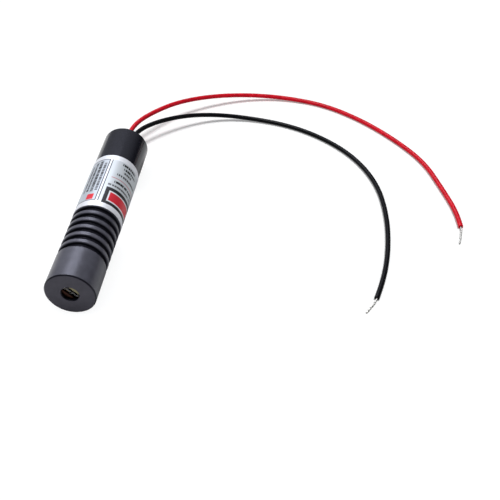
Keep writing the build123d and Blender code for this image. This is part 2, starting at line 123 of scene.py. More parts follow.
def carried(name, sections, joined=False, capped=True):
    """Mesh through outlines placed one after another. Quads join each outline to the next, and the two ends
    meet each other, get a flat face each or stay open."""
    count, size, _ = sections.shape
    index = np.arange(count * size).reshape(count, size)
    here, after = (index, np.roll(index, -1, axis=0)) if joined else (index[:-1], index[1:])
    quads = np.stack([here, np.roll(here, -1, axis=1), np.roll(after, -1, axis=1), after], axis=-1)
    faces = quads.reshape(-1, 4).tolist()
    if capped and not joined:
        faces += [index[0].tolist(), index[-1].tolist()]
    mesh = bpy.data.meshes.new(name)
    mesh.from_pydata((sections.reshape(-1, 3) * MM).tolist(), [], faces)
    piece = bpy.data.objects.new(name, mesh)
    scene.collection.objects.link(piece)
    facing_out(mesh)
    mesh.shade_smooth()
    print(name, "has", len(mesh.polygons), "faces")
    return piece


def settle(piece, slot, *replaced):
    """Fixes a piece to the part's one body, names its material slot and hides the solids it stands for."""
    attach(piece, "root")
    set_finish(piece, slot)
    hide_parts(*replaced)


# %% [markdown]
# ## Where the leads lie
# Two soft PVC leads leave the rear plug side by side, rise a little, come down and lie on the table in long
# loose bends. Straight runs with rounded corners could stand for them, but a lead bends everywhere a little
# and kinks nowhere. So each line is one smooth spline, pulled into shape by a few listed points.

# %% Lead routes
LEAD_RADIUS = 0.85
LYING = LEAD_RADIUS
RED_ROUTE = [
    (-2.0, 19.25, 9.6), (-2.0, 23.65, 9.6), (-0.9, 32.6, 8.0), (-0.9, 43.25, 8.0), (0.4, 52.65, 8.6),
    (6.4, 62.15, 8.3), (14.4, 72.75, 6.6), (27.1, 81.45, 4.6), (41.4, 87.15, 2.4), (56.2, 88.45, 1.1),
    (71.9, 84.85, LYING), (87.1, 75.05, LYING), (100.2, 62.35, LYING), (110.1, 49.35, LYING),
    (115.4, 34.55, LYING), (119.8, 20.95, LYING), (120.4, 13.55, LYING),
]
RED_TIP = (119.4, 5.25, 0.45)
BLACK_ROUTE = [
    (2.0, 19.25, 9.6), (2.0, 23.65, 9.6), (0.9, 32.6, 8.0), (0.9, 43.25, 8.0), (3.1, 51.15, 7.5),
    (9.9, 58.45, 6.8), (19.1, 65.75, 4.9), (30.4, 70.85, 2.5), (43.8, 71.75, 1.0), (58.6, 68.45, LYING),
    (72.7, 60.75, LYING), (84.4, 49.55, LYING), (92.5, 34.35, LYING), (95.6, 17.15, LYING),
    (95.8, -0.25, LYING), (93.9, -15.15, LYING), (91.6, -23.35, LYING),
]
BLACK_TIP = (88.4, -29.35, 0.45)
SPLINE_STEPS = 20


def spline_points(route):
    """Points along the smooth spline that a route's points pull into shape, in millimetres."""
    curve = bpy.data.curves.new("route", "CURVE")
    curve.dimensions = "3D"
    curve.resolution_u = SPLINE_STEPS
    spline = curve.splines.new("NURBS")
    spline.points.add(len(route) - 1)
    for point, place in zip(spline.points, route):
        point.co = (*place, 1.0)
    spline.order_u = 3
    spline.use_endpoint_u = True
    line = bpy.data.objects.new("route", curve)
    mesh = bpy.data.meshes.new_from_object(line)
    points = np.empty(3 * len(mesh.vertices))
    mesh.vertices.foreach_get("co", points)
    bpy.data.objects.remove(line)
    bpy.data.curves.remove(curve)
    bpy.data.meshes.remove(mesh)
    return points.reshape(-1, 3)


def run_lengths(line):
    """Length of each short run between two points of a line."""
    return np.linalg.norm(np.diff(line, axis=0), axis=1)


red_line = spline_points(RED_ROUTE)
black_line = spline_points(BLACK_ROUTE)
print("leads of", [round(run_lengths(line).sum(), 1) for line in (red_line, black_line)], "mm")

# %% [markdown]
# ## Insulation
# The insulation is a soft round tube. Its free end is cut off square, with a slightly rounded rim and a hole
# that the copper comes out of. A curve with a bevel gives a tube, but not that end. So a circle is carried
# along the line, and at its end over the rim and back into the hole.

# %% Lead tubes
CONDUCTOR_RADIUS = 0.32
CUT_ROUND = 0.12
RIM_STEPS = 5
HOLE_DEPTH = 0.6
LEAD_TURNS = 28


def unit(vectors):
    """Vectors of length one."""
    return vectors / np.linalg.norm(vectors, axis=-1, keepdims=True)


def frames(path):
    """Two directions across a path at each point: one level, the other square to it and to the path."""
    along = unit(np.gradient(path, axis=0))
    level = unit(np.cross(along, (0.0, 0.0, 1.0)))
    return level, np.cross(level, along)


def full_circle(steps):
    """Angles of one whole turn."""
    return np.linspace(0.0, 2 * np.pi, steps, endpoint=False)


def rings(path, radius, turn, sides=None):
    """Circle carried along a path: centre + r (cos t level + sin t raised)."""
    level, raised = frames(path) if sides is None else sides
    spoke = np.cos(turn)[:, None] * level[:, None] + np.sin(turn)[:, None] * raised[:, None]
    return path[:, None] + radius[..., None] * spoke


def lead_tube(name, line):
    """Circles along the line, then over a quarter round of radius c, (-c (1 - sin s), R - c (1 - cos s)), and
    into the hole."""
    out = unit(line[-1] - line[-2])
    s = np.linspace(0.0, np.pi / 2, RIM_STEPS)
    rim = np.stack([-CUT_ROUND * (1 - np.sin(s)), LEAD_RADIUS - CUT_ROUND * (1 - np.cos(s))], axis=1)
    hole = np.array([(0.0, CONDUCTOR_RADIUS + CUT_ROUND), (-CUT_ROUND, CONDUCTOR_RADIUS),
                     (-HOLE_DEPTH, CONDUCTOR_RADIUS)])
    end = np.concatenate([rim, hole])
    body = line[np.linalg.norm(line - line[-1], axis=1) > 2 * HOLE_DEPTH]
    centres = np.concatenate([body, line[-1] + end[:, :1] * out])
    radius = np.concatenate([np.full(len(body), LEAD_RADIUS), end[:, 1]])
    sides = [np.concatenate([side, np.repeat(side[-1:], len(end), axis=0)]) for side in frames(body)]
    return carried(name, rings(centres, radius[:, None], full_circle(LEAD_TURNS), sides))


red_lead = lead_tube("red_lead_insulation", red_line)
black_lead = lead_tube("black_lead_insulation", black_line)

# %% [markdown]
# ## The tinned ends
# At its free end each lead is stripped, and its copper strands are twisted and dipped in solder. Seven thin
# wires could be wound round each other, but solder fills the valleys between them. So one surface is closer
# to the real thing: a tube whose outline has shallow lobes that turn as it goes along.

# %% Tinned ends
STRIP_STRAIGHT = 2.0
STRAND_LOBES = 6
LOBE_DEPTH = 0.16
TWIST_LENGTH = 7.0
TIP_ROUND = 0.25
TIP_SHARE = 0.25
STRAND_TURNS = 48


def tinned_end(name, line, tip):
    """Strands: radius R (1 - d + d |cos(n/2 (t - 2 pi s / twist))|), closed by a rounded tip."""
    out = unit(line[-1] - line[-2])
    route = [line[-1] - HOLE_DEPTH * out, line[-1], line[-1] + STRIP_STRAIGHT * out, tip]
    path = spline_points([tuple(point) for point in route])
    along = np.concatenate([[0.0], run_lengths(path).cumsum()])
    turn = full_circle(STRAND_TURNS)
    lobes = np.abs(np.cos(STRAND_LOBES / 2 * (turn - 2 * np.pi * along[:, None] / TWIST_LENGTH)))
    left = np.clip((along[-1] - along) / TIP_ROUND, 0.0, 1.0)
    taper = TIP_SHARE + (1 - TIP_SHARE) * np.sqrt(1 - (1 - left) ** 2)
    radius = CONDUCTOR_RADIUS * (1 - LOBE_DEPTH + LOBE_DEPTH * lobes) * taper[:, None]
    return carried(name, rings(path, radius, turn))


red_end = tinned_end("red_tinned_strands", red_line, RED_TIP)
black_end = tinned_end("black_tinned_strands", black_line, BLACK_TIP)

# %% [markdown]
# ## Leads onto the body
# A lead is soft: it has a length, a stiffness and an end, and it can be laid another way. A mesh only shows
# how it lies now. Here each lead and its tinned end are fixed to the part's one body, get their finish's slot
# and hide the CAD solids they stand for.

LEADS = [
    (red_lead, red_end, red_line, "red"),
    (black_lead, black_end, black_line, "black"),
]
for lead, strands, line, colour in LEADS:
    settle(lead, colour + "_insulation", colour + "_lead")
    settle(strands, "tinned_copper", colour + "_lead_end")
    print(colour, "lead declared")

# %% [markdown]
# ## Turned pieces
# The cap, the barrel and the plug are turned on a lathe. A lathe never leaves a knife edge, and it is the
# tiny rounding of each edge that catches the light as a thin bright line. A bevel modifier could round them,
# but the outline is the better place: each corner becomes a short curve, and one more point on each side of
# it keeps the flat beyond it flat when the shading is smoothed.

# %% Lathe
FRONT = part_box("front_cap")[0].y / MM
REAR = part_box("barrel")[1].y / MM
AXIS_HEIGHT = (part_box("front_cap")[0].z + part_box("front_cap")[1].z) / 2 / MM
BODY_RADIUS = (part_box("front_cap")[1].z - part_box("front_cap")[0].z) / 2 / MM
BODY_LENGTH = REAR - FRONT
EDGE_ROUND = 0.07
EDGE_STEPS = 5
LARGEST_CUT = 0.3
HOLD = 1.6
TURNS = 180


def softened(outline, reach):
    """Closed outline with rounded corners. At a corner P, with a and b the cuts towards its neighbours, the
    curve is (1-s)^2 (P + a) + 2 s (1-s) P + s^2 (P + b), and P + h a and P + h b hold the flats."""
    corner = np.array(outline, float)
    back = np.roll(corner, 1, axis=0) - corner
    ahead = np.roll(corner, -1, axis=0) - corner
    shorter = np.minimum(np.linalg.norm(back, axis=1), np.linalg.norm(ahead, axis=1))
    cut = np.minimum(reach, LARGEST_CUT * shorter)[:, None]
    a = cut * unit(back)
    b = cut * unit(ahead)
    s = np.linspace(0.0, 1.0, EDGE_STEPS)[:, None, None]
    curve = (1 - s) ** 2 * (corner + a) + 2 * s * (1 - s) * corner + s**2 * (corner + b)
    rows = np.concatenate([(corner + HOLD * a)[None], curve, (corner + HOLD * b)[None]])
    return rows.transpose(1, 0, 2).reshape(-1, 2)


def spun(outline, turn):
    """Outline of (station, radius) carried round the beam axis: x = r sin t, y = front + station,
    z = axis + r cos t."""
    station, radius = outline.T
    across = np.sin(turn)[:, None] * radius
    above = np.cos(turn)[:, None] * radius + AXIS_HEIGHT
    return np.stack([across, np.broadcast_to(FRONT + station, across.shape), above], axis=-1)


def turned(name, outline, reach=EDGE_ROUND):
    """Solid of revolution with rounded edges."""
    return carried(name, spun(softened(outline, reach), full_circle(TURNS)), joined=True)


print("body of radius", round(BODY_RADIUS, 2), "and length", round(BODY_LENGTH, 2), "mm")

# %% [markdown]
# ## Front cap
# The cap closes the front of the barrel. Its land is plain, its face has the hole that the beam leaves by,
# and a spigot behind it screws into the barrel. The hole and the bore could be cut out of a solid, but a
# lathe makes them in one setting, and so does one outline: it runs back over the land and the spigot, then
# forward through the bore, where the brass cell of the line lens sits, and out through the hole.

# %% Front cap
FRONT_LAND = 12.8
FRONT_WALL = 0.9
FACE_CHAMFER = 0.4
EDGE_BREAK = 0.15
APERTURE_RADIUS = 2.75
APERTURE_CHAMFER = 0.2
SPIGOT_RADIUS = 6.02
SPIGOT_END = 17.8
CELL_BORE = 4.5

front_cap = turned("front_cap_turned", [
    (0.0, APERTURE_RADIUS + APERTURE_CHAMFER),
    (0.0, BODY_RADIUS - FACE_CHAMFER),
    (FACE_CHAMFER, BODY_RADIUS),
    (FRONT_LAND - EDGE_BREAK, BODY_RADIUS),
    (FRONT_LAND, BODY_RADIUS - EDGE_BREAK),
    (FRONT_LAND, SPIGOT_RADIUS),
    (SPIGOT_END, SPIGOT_RADIUS),
    (SPIGOT_END, CELL_BORE),
    (FRONT_WALL, CELL_BORE),
    (FRONT_WALL, APERTURE_RADIUS),
    (APERTURE_CHAMFER, APERTURE_RADIUS),
])
settle(front_cap, "black_anodised", "front_cap")

# %% [markdown]
# ## Barrel
# Behind the cap the barrel has six square grooves, which give it more surface to lose heat by. Rings could be
# cut away one by one, but the grooves repeat at an even pitch, so a short loop writes their corners into the
# outline. The last rib has no rear edge: it runs on as the land that carries the label.

# %% Barrel
GROOVE_COUNT = 6
GROOVE_WIDTH = 1.95
GROOVE_DEPTH = 1.15
RIB_WIDTH = 1.48
BORE_RADIUS = 6.05
PLUG_SEAT = 74.2
PLUG_SEAT_RADIUS = 6.85


def barrel_outline():
    """Corners of the barrel's section, from the front of the bore round the outside to the plug's seat."""
    floor = BODY_RADIUS - GROOVE_DEPTH
    corners = [(FRONT_LAND, BORE_RADIUS), (FRONT_LAND, floor)]
    for i in range(GROOVE_COUNT):
        start = FRONT_LAND + GROOVE_WIDTH + i * (GROOVE_WIDTH + RIB_WIDTH)
        end = start + RIB_WIDTH
        corners += [(start, floor), (start, BODY_RADIUS - EDGE_BREAK), (start + EDGE_BREAK, BODY_RADIUS)]
        if i < GROOVE_COUNT - 1:
            corners += [(end - EDGE_BREAK, BODY_RADIUS), (end, BODY_RADIUS - EDGE_BREAK), (end, floor)]
    return corners + [
        (BODY_LENGTH - FACE_CHAMFER, BODY_RADIUS),
        (BODY_LENGTH, BODY_RADIUS - FACE_CHAMFER),
        (BODY_LENGTH, PLUG_SEAT_RADIUS),
        (PLUG_SEAT, PLUG_SEAT_RADIUS),
        (PLUG_SEAT, BORE_RADIUS),
    ]


barrel = turned("barrel_turned", barrel_outline())
settle(barrel, "black_anodised", "barrel")

# %% [markdown]
# ## Rear plug
# A flanged plug sits in the rear of the barrel, a little below the rim. Both leads leave through one hole in
# its middle. Little of it shows, so a plain disc could do, but the lathe is there already. Its edges are
# rounded twice as much as the cap's, so that the hole can't cut the leads.

# %% Rear plug
PLUG_FRONT = 71.7
PLUG_REAR = 76.2
PLUG_FLANGE_RADIUS = 6.83
PLUG_SPIGOT_RADIUS = 6.03
PLUG_CHAMFER = 0.3
WIRE_HOLE_RADIUS = 2.0

rear_plug = turned("rear_plug_turned", [
    (PLUG_FRONT, WIRE_HOLE_RADIUS),
    (PLUG_FRONT, PLUG_SPIGOT_RADIUS),
    (PLUG_SEAT, PLUG_SPIGOT_RADIUS),
    (PLUG_SEAT, PLUG_FLANGE_RADIUS),
    (PLUG_REAR - PLUG_CHAMFER, PLUG_FLANGE_RADIUS),
    (PLUG_REAR, PLUG_FLANGE_RADIUS - PLUG_CHAMFER),
    (PLUG_REAR, WIRE_HOLE_RADIUS + PLUG_CHAMFER),
    (PLUG_REAR - PLUG_CHAMFER, WIRE_HOLE_RADIUS),
], reach=2 * EDGE_ROUND)
settle(rear_plug, "black_anodised", "rear_plug")

# %% [markdown]
# ## Label
# The label is a strip of silver film wrapped round the barrel, with its seam underneath. A flat strip could
# be bent by a modifier, but it is the same kind of surface as the turned pieces: only its circle stops short
# at the seam, and both ends are closed.

# %% Label
LABEL_START = 32.15
LABEL_END = 59.45
LABEL_INNER = 8.02
LABEL_OUTER = 8.12
LABEL_ROUND = 0.02
SEAM_ANGLE = 24.0

half_wrap = np.pi - np.radians(SEAM_ANGLE) / 2
strip = softened([(LABEL_START, LABEL_INNER), (LABEL_START, LABEL_OUTER), (LABEL_END, LABEL_OUTER),
                  (LABEL_END, LABEL_INNER)], LABEL_ROUND)
label = carried("label_wrapped", spun(strip, np.linspace(-half_wrap, half_wrap, TURNS)))
settle(label, "foil", "label")

# %% [markdown]
# ## Line lens
# Behind the aperture lies a polished glass rod, which spreads the round beam into a line. Blender's cylinder
# would do for most things, but glass bends every ray, so even faint facets would show in it. So the rod is a
# carried circle with many steps and small chamfers.

# %% Line lens
ROD_LENGTH = 7.0
ROD_RADIUS = 1.0
ROD_CHAMFER = 0.15
ROD_TURNS = 96
LINE_TILT = np.radians(45.0)


def glass_rod(middle):
    """Rod across the beam: circles of a radius that drops by the chamfer at both ends."""
    axis = np.array((np.cos(LINE_TILT), 0.0, -np.sin(LINE_TILT)))
    half = ROD_LENGTH / 2
    reach = np.array([-half, ROD_CHAMFER - half, 2 * ROD_CHAMFER - half])
    reach = np.concatenate([reach, -reach[::-1]])
    radius = np.minimum(ROD_RADIUS, ROD_RADIUS - ROD_CHAMFER + half - np.abs(reach))
    path = middle + reach[:, None] * axis
    return carried("line_lens_rod", rings(path, radius[:, None], full_circle(ROD_TURNS)))


low, high = (np.array(corner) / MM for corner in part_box("line_lens"))
line_lens = glass_rod((low + high) / 2)
settle(line_lens, "glass", "line_lens")

# %% [markdown]
# ## Building finishes
# A finish is a Principled shader with a few nodes in front of it that make it uneven, as real surfaces are.
# Nodes could be placed by hand in the editor, but code can be read, compared and used again. A few short
# helpers keep it readable: one adds a node and fills its inputs, and the others build on it.

# %% Node helpers
BLACK = (0.0, 0.0, 0.0)


def put(tree, kind, inputs=None, **settings):
    """New node. An input that is given a socket is linked to it, and any other value is set on it."""
    node = tree.nodes.new("ShaderNode" + kind)
    for name, value in settings.items():
        setattr(node, name, value)
    for name, value in (inputs or {}).items():
        if isinstance(value, bpy.types.NodeSocket):
            tree.links.new(value, node.inputs[name])
        else:
            node.inputs[name].default_value = value
    return node


def reckon(tree, operation, first, second=0.0):
    """Output of a Math node."""
    return put(tree, "Math", {0: first, 1: second}, operation=operation).outputs[0]


def reckon_vector(tree, operation, first, second=BLACK):
    """Outputs of a Vector Math node: "Vector", or "Value" for a length or a dot product."""
    return put(tree, "VectorMath", {0: first, 1: second}, operation=operation).outputs


def ramp(tree, value, start, end, low=0.0, high=1.0):
    """Soft step from low to high as a value goes from start to end."""
    limits = {"Value": value, "From Min": start, "From Max": end, "To Min": low, "To Max": high}
    return put(tree, "MapRange", limits, interpolation_type="SMOOTHSTEP").outputs[0]


def mixed(tree, factor, first, second):
    """Colour between two colours, each given as a socket or as red, green and blue."""
    ends = [end if isinstance(end, bpy.types.NodeSocket) else (*end, 1.0) for end in (first, second)]
    return put(tree, "Mix", {"Factor": factor, "A": ends[0], "B": ends[1]}, data_type="RGBA",
               clamp_factor=False).outputs[2]


def new_group(name, inputs, outputs):
    """Shader node group with named sockets, and its two end nodes."""
    group = bpy.data.node_groups.new(name, "ShaderNodeTree")
    for in_out, sockets in (("INPUT", inputs), ("OUTPUT", outputs)):
        for socket_name, kind in sockets.items():
            group.interface.new_socket(socket_name, in_out=in_out, socket_type="NodeSocket" + kind)
    return group, group.nodes.new("NodeGroupInput").outputs, group.nodes.new("NodeGroupOutput").inputs


def use_group(tree, group, inputs):
    """Outputs of a group that is placed in a tree."""
    return put(tree, "Group", inputs, node_tree=group).outputs


def new_finish(name, **values):
    """Material with a Principled shader, whose plain values are set by socket name."""
    material = bpy.data.materials.new(name)
    material.use_nodes = True
    tree = material.node_tree
    shader = tree.nodes["Principled BSDF"]
    for key, value in values.items():
        shader.inputs[key.replace("_", " ")].default_value = value
    return material, tree, shader


# %% [markdown]
# ## Effects that several finishes share
# Turning leaves fine rings round the axis, and every material has small changes of tone and gloss. Each
# finish could draw its own, but a node group is built once and placed where it is needed. Along a land the
# rings follow the station and on a face the radius, so noise over station plus radius draws both. Mottle is
# soft noise between two values.

# %% Shared effects
NOISE_LOW, NOISE_HIGH = 0.3, 0.7
NOISE_DETAIL = 3.0


def from_axis(tree, place):
    """Distance from the barrel's axis, the root of x^2 + z^2."""
    squares = [reckon(tree, "MULTIPLY", place[side], place[side]) for side in ("X", "Z")]
    return reckon(tree, "SQRT", reckon(tree, "ADD", *squares))


def turning_marks():
    """Group: rings of noise over (station + distance from the axis) / pitch."""
    group, given, out = new_group("turning_marks", {"Place": "Vector", "Pitch": "Float"}, {"Height": "Float"})
    place = put(group, "SeparateXYZ", {0: given["Place"]}).outputs
    run = reckon(group, "ADD", place["Y"], from_axis(group, place))
    rings_of_noise = put(group, "TexNoise", {"W": reckon(group, "DIVIDE", run, given["Pitch"]), "Scale": 1.0},
                         noise_dimensions="1D")
    group.links.new(rings_of_noise.outputs["Fac"], out["Height"])
    return group


def mottle():
    """Group: soft noise between two values."""
    inputs = {"Place": "Vector", "Scale": "Float", "Low": "Float", "High": "Float"}
    group, given, out = new_group("mottle", inputs, {"Value": "Float"})
    grains = {"Vector": given["Place"], "Scale": given["Scale"], "Detail": NOISE_DETAIL}
    noise = put(group, "TexNoise", grains).outputs["Fac"]
    limits = {"Value": noise, "From Min": NOISE_LOW, "From Max": NOISE_HIGH, "To Min": given["Low"],
              "To Max": given["High"]}
    group.links.new(put(group, "MapRange", limits).outputs[0], out["Value"])
    return group


TURNING_MARKS = turning_marks()
MOTTLE = mottle()
print("groups:", TURNING_MARKS.name, MOTTLE.name)

# %% [markdown]
# Both groups need to know where on the module they are. Object coordinates are in metres and start on the
# floor, so one more helper turns them into millimetres behind the front face and above the axis. It serves
# the leads and the board too, because a noise only needs some place to start from.

# %% Using the effects
MARK_PITCH = 0.25
MARK_DEPTH = 0.01 * MM


def place_on_barrel(tree):
    """Object coordinates in millimetres, as (across, station, above the axis)."""
    source = put(tree, "TexCoord").outputs["Object"]
    spot = {"Vector": source, "Location": (0.0, -FRONT, -AXIS_HEIGHT), "Scale": (1 / MM, 1 / MM, 1 / MM)}
    return put(tree, "Mapping", spot).outputs[0]


def mottled(tree, place, scale, value, share):
    """Value that changes softly by up to a share of it either way, with so many grains to the millimetre."""
    limits = {"Place": place, "Scale": scale, "Low": value * (1 - share), "High": value * (1 + share)}
    return use_group(tree, MOTTLE, limits)["Value"]


def surface_marks(tree, shader, place, strength):
    """Turning marks as bump on a shader."""
    marks = use_group(tree, TURNING_MARKS, {"Place": place, "Pitch": MARK_PITCH})["Height"]
    bump = put(tree, "Bump", {"Height": marks, "Strength": strength, "Distance": MARK_DEPTH})
    tree.links.new(bump.outputs[0], shader.inputs["Normal"])


# %% [markdown]
# ## Bare metals
# Brass, steel, nickel and solder are bare metal, and all carry turning marks or something like them. Each
# could have a material of its own, but only colour and gloss tell them apart, so one function makes them. The
# cell behind the aperture is brass too, darker than new, partly from age and partly as painted shade of its
# recess. Below its slot a dark brown is painted as shade, and above it the brass is olive.

# %% Bare metals
METAL_TONE_SCALE, METAL_TONE_SHARE = 0.6, 0.2
METAL_GLOSS_SCALE, METAL_GLOSS_SHARE = 1.6, 0.15
METAL_MARKS = 0.2
SLOT_SHADE_REACH = 0.8


def slot_shaded(tree, place, slot_shade, colour):
    """Painted shade below the line lens's slot and colour above it, by the distance from it, x sin a + z cos
    a.
    """
    upward = (np.sin(LINE_TILT), 0.0, np.cos(LINE_TILT))
    distance = reckon_vector(tree, "DOT_PRODUCT", place, upward)["Value"]
    return mixed(tree, ramp(tree, distance, -SLOT_SHADE_REACH, SLOT_SHADE_REACH), slot_shade, colour)


def bare_metal(name, colour, roughness, slot_shade=None):
    """Metal whose tone and gloss are a little uneven, with fine turning marks, and painted shade below the
    slot if given one.
    """
    material, tree, shader = new_finish(name, Metallic=1.0)
    place = place_on_barrel(tree)
    if slot_shade:
        colour = slot_shaded(tree, place, slot_shade, colour)
    tone = mottled(tree, place, METAL_TONE_SCALE, 1.0, METAL_TONE_SHARE)
    gloss = mottled(tree, place, METAL_GLOSS_SCALE, roughness, METAL_GLOSS_SHARE)
    tree.links.new(mixed(tree, tone, BLACK, colour), shader.inputs["Base Color"])
    tree.links.new(gloss, shader.inputs["Roughness"])
    surface_marks(tree, shader, place, METAL_MARKS)
    return material


finishes = {
    # The cell's brass: dark from age and from painted shade of the recess, with painted shade in dark brown
    # below its slot.
    "dulled_brass": bare_metal("dulled_brass", (0.16, 0.145, 0.085), 0.32, slot_shade=(0.03, 0.012, 0.008)),
    "brass": bare_metal("brass", (0.72, 0.5, 0.2), 0.3),
    "spring_steel": bare_metal("spring_steel", (0.55, 0.55, 0.57), 0.3),
    "nickel": bare_metal("nickel", (0.68, 0.66, 0.62), 0.25),
    "gilt": bare_metal("gilt", (0.83, 0.62, 0.26), 0.25),
    "solder": bare_metal("solder", (0.6, 0.61, 0.63), 0.35),
    "tinned_copper": bare_metal("tinned_copper", (0.42, 0.41, 0.38), 0.5),
}
print("metals:", sorted(finishes))

# %% [markdown]
# ## Black anodising
# The aluminium is dyed black in a hard clear layer, the colour of the grooves, the chamfers and the smoother
# land behind the label. On the front land, the ribs and the front face a lighter grey with a touch of violet
# is painted into the colour as sheen, in place of their satin reflections: the foremost ribs get a little more
# and the front face a little less. Each place could have its own material, but masks over the radius and the
# station tell them apart, so one finish covers all three turned pieces without a seam.

# %% Black anodising
BLACK_DYE = (0.007, 0.007, 0.011)
# The three lighter greys that follow are painted sheen, in place of the lands' reflections.
SATIN_SHEEN_PAINT = (0.058, 0.058, 0.074)
RIB_SHEEN_PAINT = (0.078, 0.078, 0.098)
FACE_SHEEN_PAINT = (0.054, 0.051, 0.066)
SATIN_ROUGHNESS = 0.3
SMOOTH_ROUGHNESS = 0.18
LAND_FROM, LAND_FULL = 0.6, 0.2
FACE_DEPTH = 0.12
EDGE_FADE = 0.3
SMOOTH_FROM, SMOOTH_FULL = 40.0, 50.0
DYE_TONE_SCALE, DYE_TONE_SHARE = 0.35, 0.12
DYE_GLOSS_SCALE, DYE_GLOSS_SHARE = 1.6, 0.08
DYE_MARKS = 0.15


def dye_and_painted_sheen(tree, spot):
    """Black, and painted sheen in grey where the land, front and edge masks say, the station saying how far.
    """
    station = spot["Y"]
    land = ramp(tree, from_axis(tree, spot), BODY_RADIUS - LAND_FROM, BODY_RADIUS - LAND_FULL)
    front = ramp(tree, station, SMOOTH_FROM, SMOOTH_FULL, 1.0, 0.0)
    behind_edge = ramp(tree, station, (1 - EDGE_FADE) * FACE_CHAMFER, (1 + EDGE_FADE) * FACE_CHAMFER)
    # Mask of the painted sheen on the lands, and below it the mask of more painted sheen on the ribs.
    sheen_painted = reckon(tree, "MULTIPLY", reckon(tree, "MULTIPLY", land, front), behind_edge)
    rib_sheen = reckon(tree, "MULTIPLY", ramp(tree, station, FRONT_LAND, FRONT_LAND + GROOVE_WIDTH),
                    ramp(tree, station, FRONT_LAND, LABEL_START, 1.0, 0.0))
    face = ramp(tree, station, 0.0, FACE_DEPTH, 1.0, 0.0)
    return mixed(tree, sheen_painted, mixed(tree, face, BLACK_DYE, FACE_SHEEN_PAINT), mixed(tree, rib_sheen, SATIN_SHEEN_PAINT, RIB_SHEEN_PAINT))


def anodised():
    """Black dyed layer: painted sheen on the satin front lands, smoother behind the label, deep black
    elsewhere.
    """
    material, tree, shader = new_finish("black_anodised", Specular_IOR_Level=0.2,
                                         Specular_Tint=(0.87, 0.87, 1.0, 1.0))
    place = place_on_barrel(tree)
    spot = put(tree, "SeparateXYZ", {0: place}).outputs
    tone = mottled(tree, place, DYE_TONE_SCALE, 1.0, DYE_TONE_SHARE)
    tree.links.new(mixed(tree, tone, BLACK, dye_and_painted_sheen(tree, spot)), shader.inputs["Base Color"])
    gloss = mottled(tree, place, DYE_GLOSS_SCALE, 1.0, DYE_GLOSS_SHARE)
    level = ramp(tree, spot["Y"], SMOOTH_FROM, SMOOTH_FULL, SATIN_ROUGHNESS, SMOOTH_ROUGHNESS)
    tree.links.new(reckon(tree, "MULTIPLY", gloss, level), shader.inputs["Roughness"])
    surface_marks(tree, shader, place, DYE_MARKS)
    return material


finishes["black_anodised"] = anodised()
print("anodising wiped in front of station", SMOOTH_FROM)

# %% [markdown]
# ## Plastics and ceramics
# The leads' PVC, the board, the chips and the sleeve are dyed right through. A plain colour could stand for
# them, but it looks like paint. What makes them believable is a little unevenness of tone and gloss, and a
# surface that is never quite flat, so all three come from one mottle, at the size of each material's grain.

# %% Plastics
GRAIN_SHARE = 0.15
GRAIN_BUMP, GRAIN_DEPTH = 0.1, 0.05 * MM


def dyed(name, colour, roughness, grain, sheen=0.5):
    """Plastic or ceramic with a soft mottle of tone, gloss and surface; grain is its size in millimetres."""
    material, tree, shader = new_finish(name, Specular_IOR_Level=sheen)
    place = place_on_barrel(tree)
    tone = mottled(tree, place, 1 / grain, 1.0, GRAIN_SHARE)
    gloss = mottled(tree, place, 2 / grain, roughness, GRAIN_SHARE)
    bump = put(tree, "Bump", {"Height": tone, "Strength": GRAIN_BUMP, "Distance": GRAIN_DEPTH})
    tree.links.new(mixed(tree, tone, BLACK, colour), shader.inputs["Base Color"])
    tree.links.new(gloss, shader.inputs["Roughness"])
    tree.links.new(bump.outputs[0], shader.inputs["Normal"])
    return material


finishes["red_insulation"] = dyed("red_insulation", (0.6, 0.004, 0.016), 0.34, 3.0, sheen=0.1)
finishes["black_insulation"] = dyed("black_insulation", (0.002, 0.002, 0.003), 0.32, 3.0, sheen=0.07)
finishes["board"] = dyed("board", (0.03, 0.2, 0.08), 0.35, 1.0)
finishes["sleeve_film"] = dyed("sleeve_film", (0.08, 0.08, 0.09), 0.3, 4.0)
finishes["chip_plastic"] = dyed("chip_plastic", (0.03, 0.03, 0.032), 0.55, 0.3)
finishes["resistor_body"] = dyed("resistor_body", (0.05, 0.05, 0.055), 0.4, 0.3)
finishes["tantalum_body"] = dyed("tantalum_body", (0.75, 0.55, 0.12), 0.45, 0.5)
finishes["ceramic_body"] = dyed("ceramic_body", (0.5, 0.36, 0.22), 0.5, 0.4)
print("finishes so far:", len(finishes))

# %% [markdown]
# ## Glass
# The rod, the collimating lens and the diode's window are clear polished glass. It could be a mix of a mirror
# and a clear shader, but the Principled shader does both once its transmission is 1, and takes the bending of
# light from the IOR. It stays plain, because clean glass shows nothing but what it bends and mirrors.

# %% Glass
GLASS_IOR = 1.52

finishes["glass"], _, _ = new_finish("glass", Base_Color=(0.96, 0.98, 0.97, 1.0), Roughness=0.02,
                                     IOR=GLASS_IOR, Transmission_Weight=1.0)
print("glass of IOR", GLASS_IOR)

# %% [markdown]
# ## Foil and its print
# The label's film is silver, satin and cool in tone, and dark ink is printed on it. The print is kept
# general: rules, rows of dashes and plain fields of colour. It could be painted into an image, but each mark
# is a bar in angle and station, so a small group that draws one bar stays sharp at any distance.

# %% Print groups
INK_EDGE = 0.05
SHORTEST_DASH = 0.55


def soft_edge(group, inside):
    """1 where a distance is inside, 0 where it is outside, and a short slope between."""
    return put(group, "MapRange", {"Value": inside, "From Min": -INK_EDGE, "From Max": INK_EDGE}).outputs[0]


